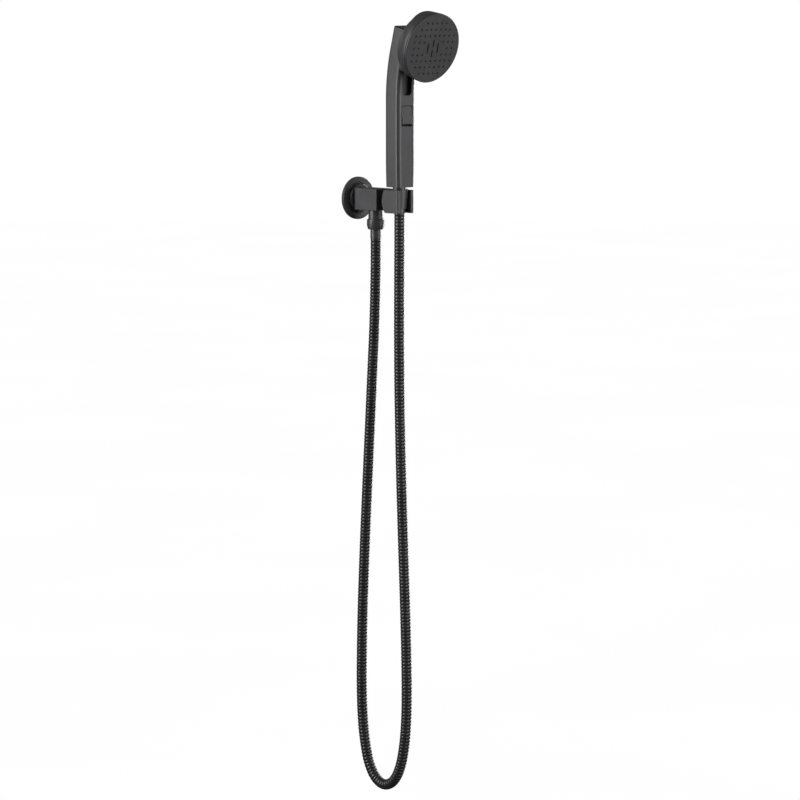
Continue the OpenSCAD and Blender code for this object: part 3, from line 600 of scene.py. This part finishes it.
def neck_outline(half_width, low, high, corner, count):
    """Points round a rectangle with rounded corners, spaced by angle about the head's axis."""
    points = []
    for k in range(count):
        turn = 2 * pi * k / count
        way = Vector((cos(turn), sin(turn)))
        reach = half_width / abs(way.x) if abs(way.x) > NO_WIDTH else 1.0
        end = high if way.y > 0 else -low
        if abs(way.y) > NO_WIDTH:
            reach = min(reach, end / abs(way.y))
        point = way * reach
        inner = Vector((half_width - corner, end - corner))
        past = Vector((abs(point.x) - inner.x, abs(point.y) - inner.y))
        if past.x > 0 and past.y > 0:
            past = past.normalized() * corner
            point = Vector((
                (inner.x + past.x) * (1 if point.x > 0 else -1),
                (inner.y + past.y) * (1 if point.y > 0 else -1),
            ))
        points.append(point)
    return points


BACK_RINGS = 12
EDGE_RINGS = 6
BACK_EDGE = 3 * MM
HOUSING_BACK_R = 45 * MM
DUCT_R = 8 * MM
HOUSING_R = 50 * MM
HOUSING_WALL = 2.5 * MM
RIM_EDGE = 1.1 * MM
NECK_START = 8.9 * MM
# Neck's outline at the handle: half its width, its reach below and above the head's axis, and its corners
NECK_HALF, NECK_DROP, NECK_RISE, NECK_CORNER = 16.9 * MM, 44.4 * MM, 13.4 * MM, 5 * MM


def housing_rings(side):
    """Rings of the housing from neck to rim: share of the way from neck to circle, depth and radius.

    Side is 0 above and below, where the neck runs into the drum's back, and 1 beside it, where the handle's
    side flows into the drum's.
    """
    rings = []
    count = BACK_RINGS + EDGE_RINGS
    for k in range(count + 1):
        if k <= BACK_RINGS:
            turn = pi / 2 * k / BACK_RINGS
            plain = (1 - cos(turn), NECK_START + (BACK_OUT - NECK_START) * sin(turn), HOUSING_BACK_R)
        else:
            turn = pi / 2 * (k - BACK_RINGS) / EDGE_RINGS
            plain = (1.0, BACK_OUT + BACK_EDGE * (1 - cos(turn)), HOUSING_BACK_R + BACK_EDGE * sin(turn))
        t = k / count
        flow = (t * t * (3 - 2 * t), NECK_START + (FLOW_OUT - NECK_START) * t, FLOW_R)
        rings.append(tuple(a + (b - a) * side for a, b in zip(plain, flow)))
    rings += [
        (1.0, HOUSING_OUT - BACK_EDGE, HOUSING_R), (1.0, HOUSING_OUT - RIM_EDGE, HOUSING_R),
        (1.0, HOUSING_OUT, HOUSING_R - RIM_EDGE), (1.0, HOUSING_OUT, HOUSING_R - HOUSING_WALL),
        (1.0, BACK_OUT + HOUSING_WALL, HOUSING_BACK_R), (1.0, BACK_OUT + HOUSING_WALL, DUCT_R),
    ]
    return rings


def make_housing():
    """Drum with a waist that flows back into the handle, made of rings joined one to the next."""
    start = neck_outline(NECK_HALF, -NECK_DROP, NECK_RISE, NECK_CORNER, HEAD_SIDES)
    by_side = [housing_rings(cos(2 * pi * k / HEAD_SIDES) ** 2) for k in range(HEAD_SIDES)]
    bm = bmesh.new()
    loops = []
    for ring in range(len(by_side[0])):
        loop = []
        for k, corner in enumerate(start):
            share, out, radius = by_side[k][ring]
            turn = 2 * pi * k / HEAD_SIDES
            round_point = Vector((cos(turn), sin(turn))) * radius
            flat = corner.lerp(round_point, share)
            loop.append(bm.verts.new((flat.x, flat.y, out)))
        for k in range(HEAD_SIDES):
            bm.edges.new((loop[k - 1], loop[k]))
        loops.append(loop)
    bmesh.ops.contextual_create(bm, geom=loops[0])
    for loop, other in zip(loops, loops[1:]):
        edges = [e for e in bm.edges if all(v in set(loop) for v in e.verts)]
        others = [e for e in bm.edges if all(v in set(other) for v in e.verts)]
        bmesh.ops.bridge_loops(bm, edges=edges + others)
    bmesh.ops.contextual_create(bm, geom=loops[-1])
    bmesh.ops.recalc_face_normals(bm, faces=bm.faces)
    bm.transform(HEAD)
    piece = put_in_scene("head_drum", bm, "black", soft_over=50)
    return stand_for(piece, "handset", "head_housing")


NOZZLE_PITCH = 9.1 * MM
NOZZLE_ROWS = {4: 2, 3: 3, 2: 4, 1: 4, 0: 4, -1: 4, -2: 4, -3: 3, -4: 2}
FACE_OUT = 55.2 * MM
FACE_T = 2.2 * MM
NUB_R = 0.9 * MM
NUB_PITCH = 2.9 * MM
TIP_R, TIP_BORE, TIP_SUNK = 1.5 * MM, 0.5 * MM, 0.4 * MM
TIP_SIDES = 12
SHEET_R, SHEET_T = 44.3 * MM, 2 * MM
# Centre slots: place across and up the face, and number of nubs
SLOT_ROWS = [(-9.4 * MM, 0, 5), (9.4 * MM, 0, 5), (0, 7.5 * MM, 3), (0, -7.5 * MM, 3)]


def nozzle_places():
    for row, reach in NOZZLE_ROWS.items():
        for column in range(-reach, reach + 1):
            middle_gap = 2 if row == 0 else 1
            if abs(row) <= 1 and abs(column) <= middle_gap:
                continue
            yield Vector((column * NOZZLE_PITCH, row * NOZZLE_PITCH, 0))


def slot_nub_places():
    """Rows of nubs along the two long and the two short centre slots."""
    for x, y, count in SLOT_ROWS:
        for k in range(count):
            yield Vector((x, y + (k - (count - 1) / 2) * NUB_PITCH, 0))


def make_nozzles():
    """Rubber sheet behind the face, with a soft tip in each of its holes and nubs in its slots."""
    tip, root = FACE_OUT - TIP_SUNK, FACE_OUT - FACE_T
    back = root - SHEET_T
    bm = turned([(0, back), (SHEET_R, back), (SHEET_R, root), (0, root)], HEAD_SIDES)
    tip_outline = [
        (TIP_BORE, root - MM), (TIP_R, root - MM), (TIP_R, tip - 0.6 * MM),
        (TIP_R - 0.25 * MM, tip - 0.15 * MM), (TIP_R - 0.6 * MM, tip), (TIP_BORE, tip),
    ]
    nub_outline = [
        (0, root - MM), (NUB_R, root - MM), (NUB_R, tip - 0.3 * MM), (NUB_R - 0.2 * MM, tip), (0, tip),
    ]
    small_pieces = [(place, tip_outline) for place in nozzle_places()]
    small_pieces += [(place, nub_outline) for place in slot_nub_places()]
    for place, outline in small_pieces:
        tip_bm = turned(outline, TIP_SIDES)
        bmesh.ops.translate(tip_bm, verts=tip_bm.verts, vec=place)
        mesh = bpy.data.meshes.new("nozzle_tip")
        tip_bm.to_mesh(mesh)
        tip_bm.free()
        bm.from_mesh(mesh)
        bpy.data.meshes.remove(mesh)
    bm.transform(HEAD)
    piece = put_in_scene("nozzle_sheet", bm, "rubber", soft_over=50)
    return stand_for(piece, "handset", "nozzle_mat")


make_housing()
make_nozzles()

# ------------------------------------------------------------------ pieces that keep their CAD shape

for subpart in frame["record"]["subparts"]:
    node = frame["nodes"][subpart["node"]]
    node.data.materials.clear()
    node.data.materials.append(FINISHES[subpart["material_slot"]])

# ------------------------------------------------------------------ floor and light


def make_floor():
    """Plain pale floor that lights nothing and isn't mirrored in the pieces."""
    bm = bmesh.new()
    bmesh.ops.create_circle(bm, cap_ends=True, segments=96, radius=12)
    bmesh.ops.translate(bm, verts=bm.verts, vec=(0, 0, cad_box[0][2] - 0.02))
    mesh = bpy.data.meshes.new("floor")
    bm.to_mesh(mesh)
    bm.free()
    floor = bpy.data.objects.new("floor", mesh)
    bpy.context.scene.collection.objects.link(floor)
    material, nodes, links, shader, place = new_finish("pale_floor")
    tone = two_tones(nodes, links, noise(nodes, links, place, 2), (0.99, 0.99, 0.99), (1, 1, 1))
    links.new(tone, shader.inputs["Emission Color"])
    shader.inputs["Emission Strength"].default_value = 1.0
    shader.inputs["Base Color"].default_value = (0, 0, 0, 1)
    shader.inputs["Roughness"].default_value = 1.0
    shader.inputs["Specular IOR Level"].default_value = 0.0
    mesh.materials.append(material)
    floor.visible_diffuse = False
    floor.visible_glossy = False


def soft_light(name, place, aim, width, height, power):
    data = bpy.data.lights.new(name, "AREA")
    data.shape = "RECTANGLE"
    data.size = width
    data.size_y = height
    data.energy = power
    light = bpy.data.objects.new(name, data)
    light.location = place
    light.rotation_euler = (Vector(aim) - Vector(place)).to_track_quat("-Z", "Y").to_euler()
    bpy.context.scene.collection.objects.link(light)


# Name, turn about Z from the front, height and distance from the set, width, length and power in watts
SOFT_BOXES = [
    ("left_box", -112, 0.8, 2.5, 0.8, 2.6, 95),
    ("front_box", 14, 0.5, 2.6, 2.2, 2.4, 75),
    ("right_rim", 98, 0.2, 2.4, 0.8, 2.4, 80),
]
ROOM_GLOW = 0.09


def light_the_studio():
    """White behind everything, a dim room in the reflections, and three soft boxes."""
    scene = bpy.context.scene
    scene.view_settings.view_transform = "Standard"
    world = bpy.data.worlds.new("studio")
    world.use_nodes = True
    nodes, links = world.node_tree.nodes, world.node_tree.links
    seen = nodes.new("ShaderNodeLightPath").outputs["Is Camera Ray"]
    strength = nodes.new("ShaderNodeMapRange")
    strength.inputs["To Min"].default_value = ROOM_GLOW
    strength.inputs["To Max"].default_value = 1.0
    links.new(seen, strength.inputs["Value"])
    nodes["Background"].inputs["Color"].default_value = (1, 1, 1, 1)
    links.new(strength.outputs["Result"], nodes["Background"].inputs["Strength"])
    scene.world = world
    aim = Vector((0, -0.08, -0.1))
    for name, azimuth, height, away, width, tall, power in SOFT_BOXES:
        turn = radians(azimuth)
        place = aim + Vector((sin(turn), -cos(turn), 0)) * away + Vector((0, 0, height))
        soft_light(name, place, aim, width, tall, power)


make_floor()
light_the_studio()
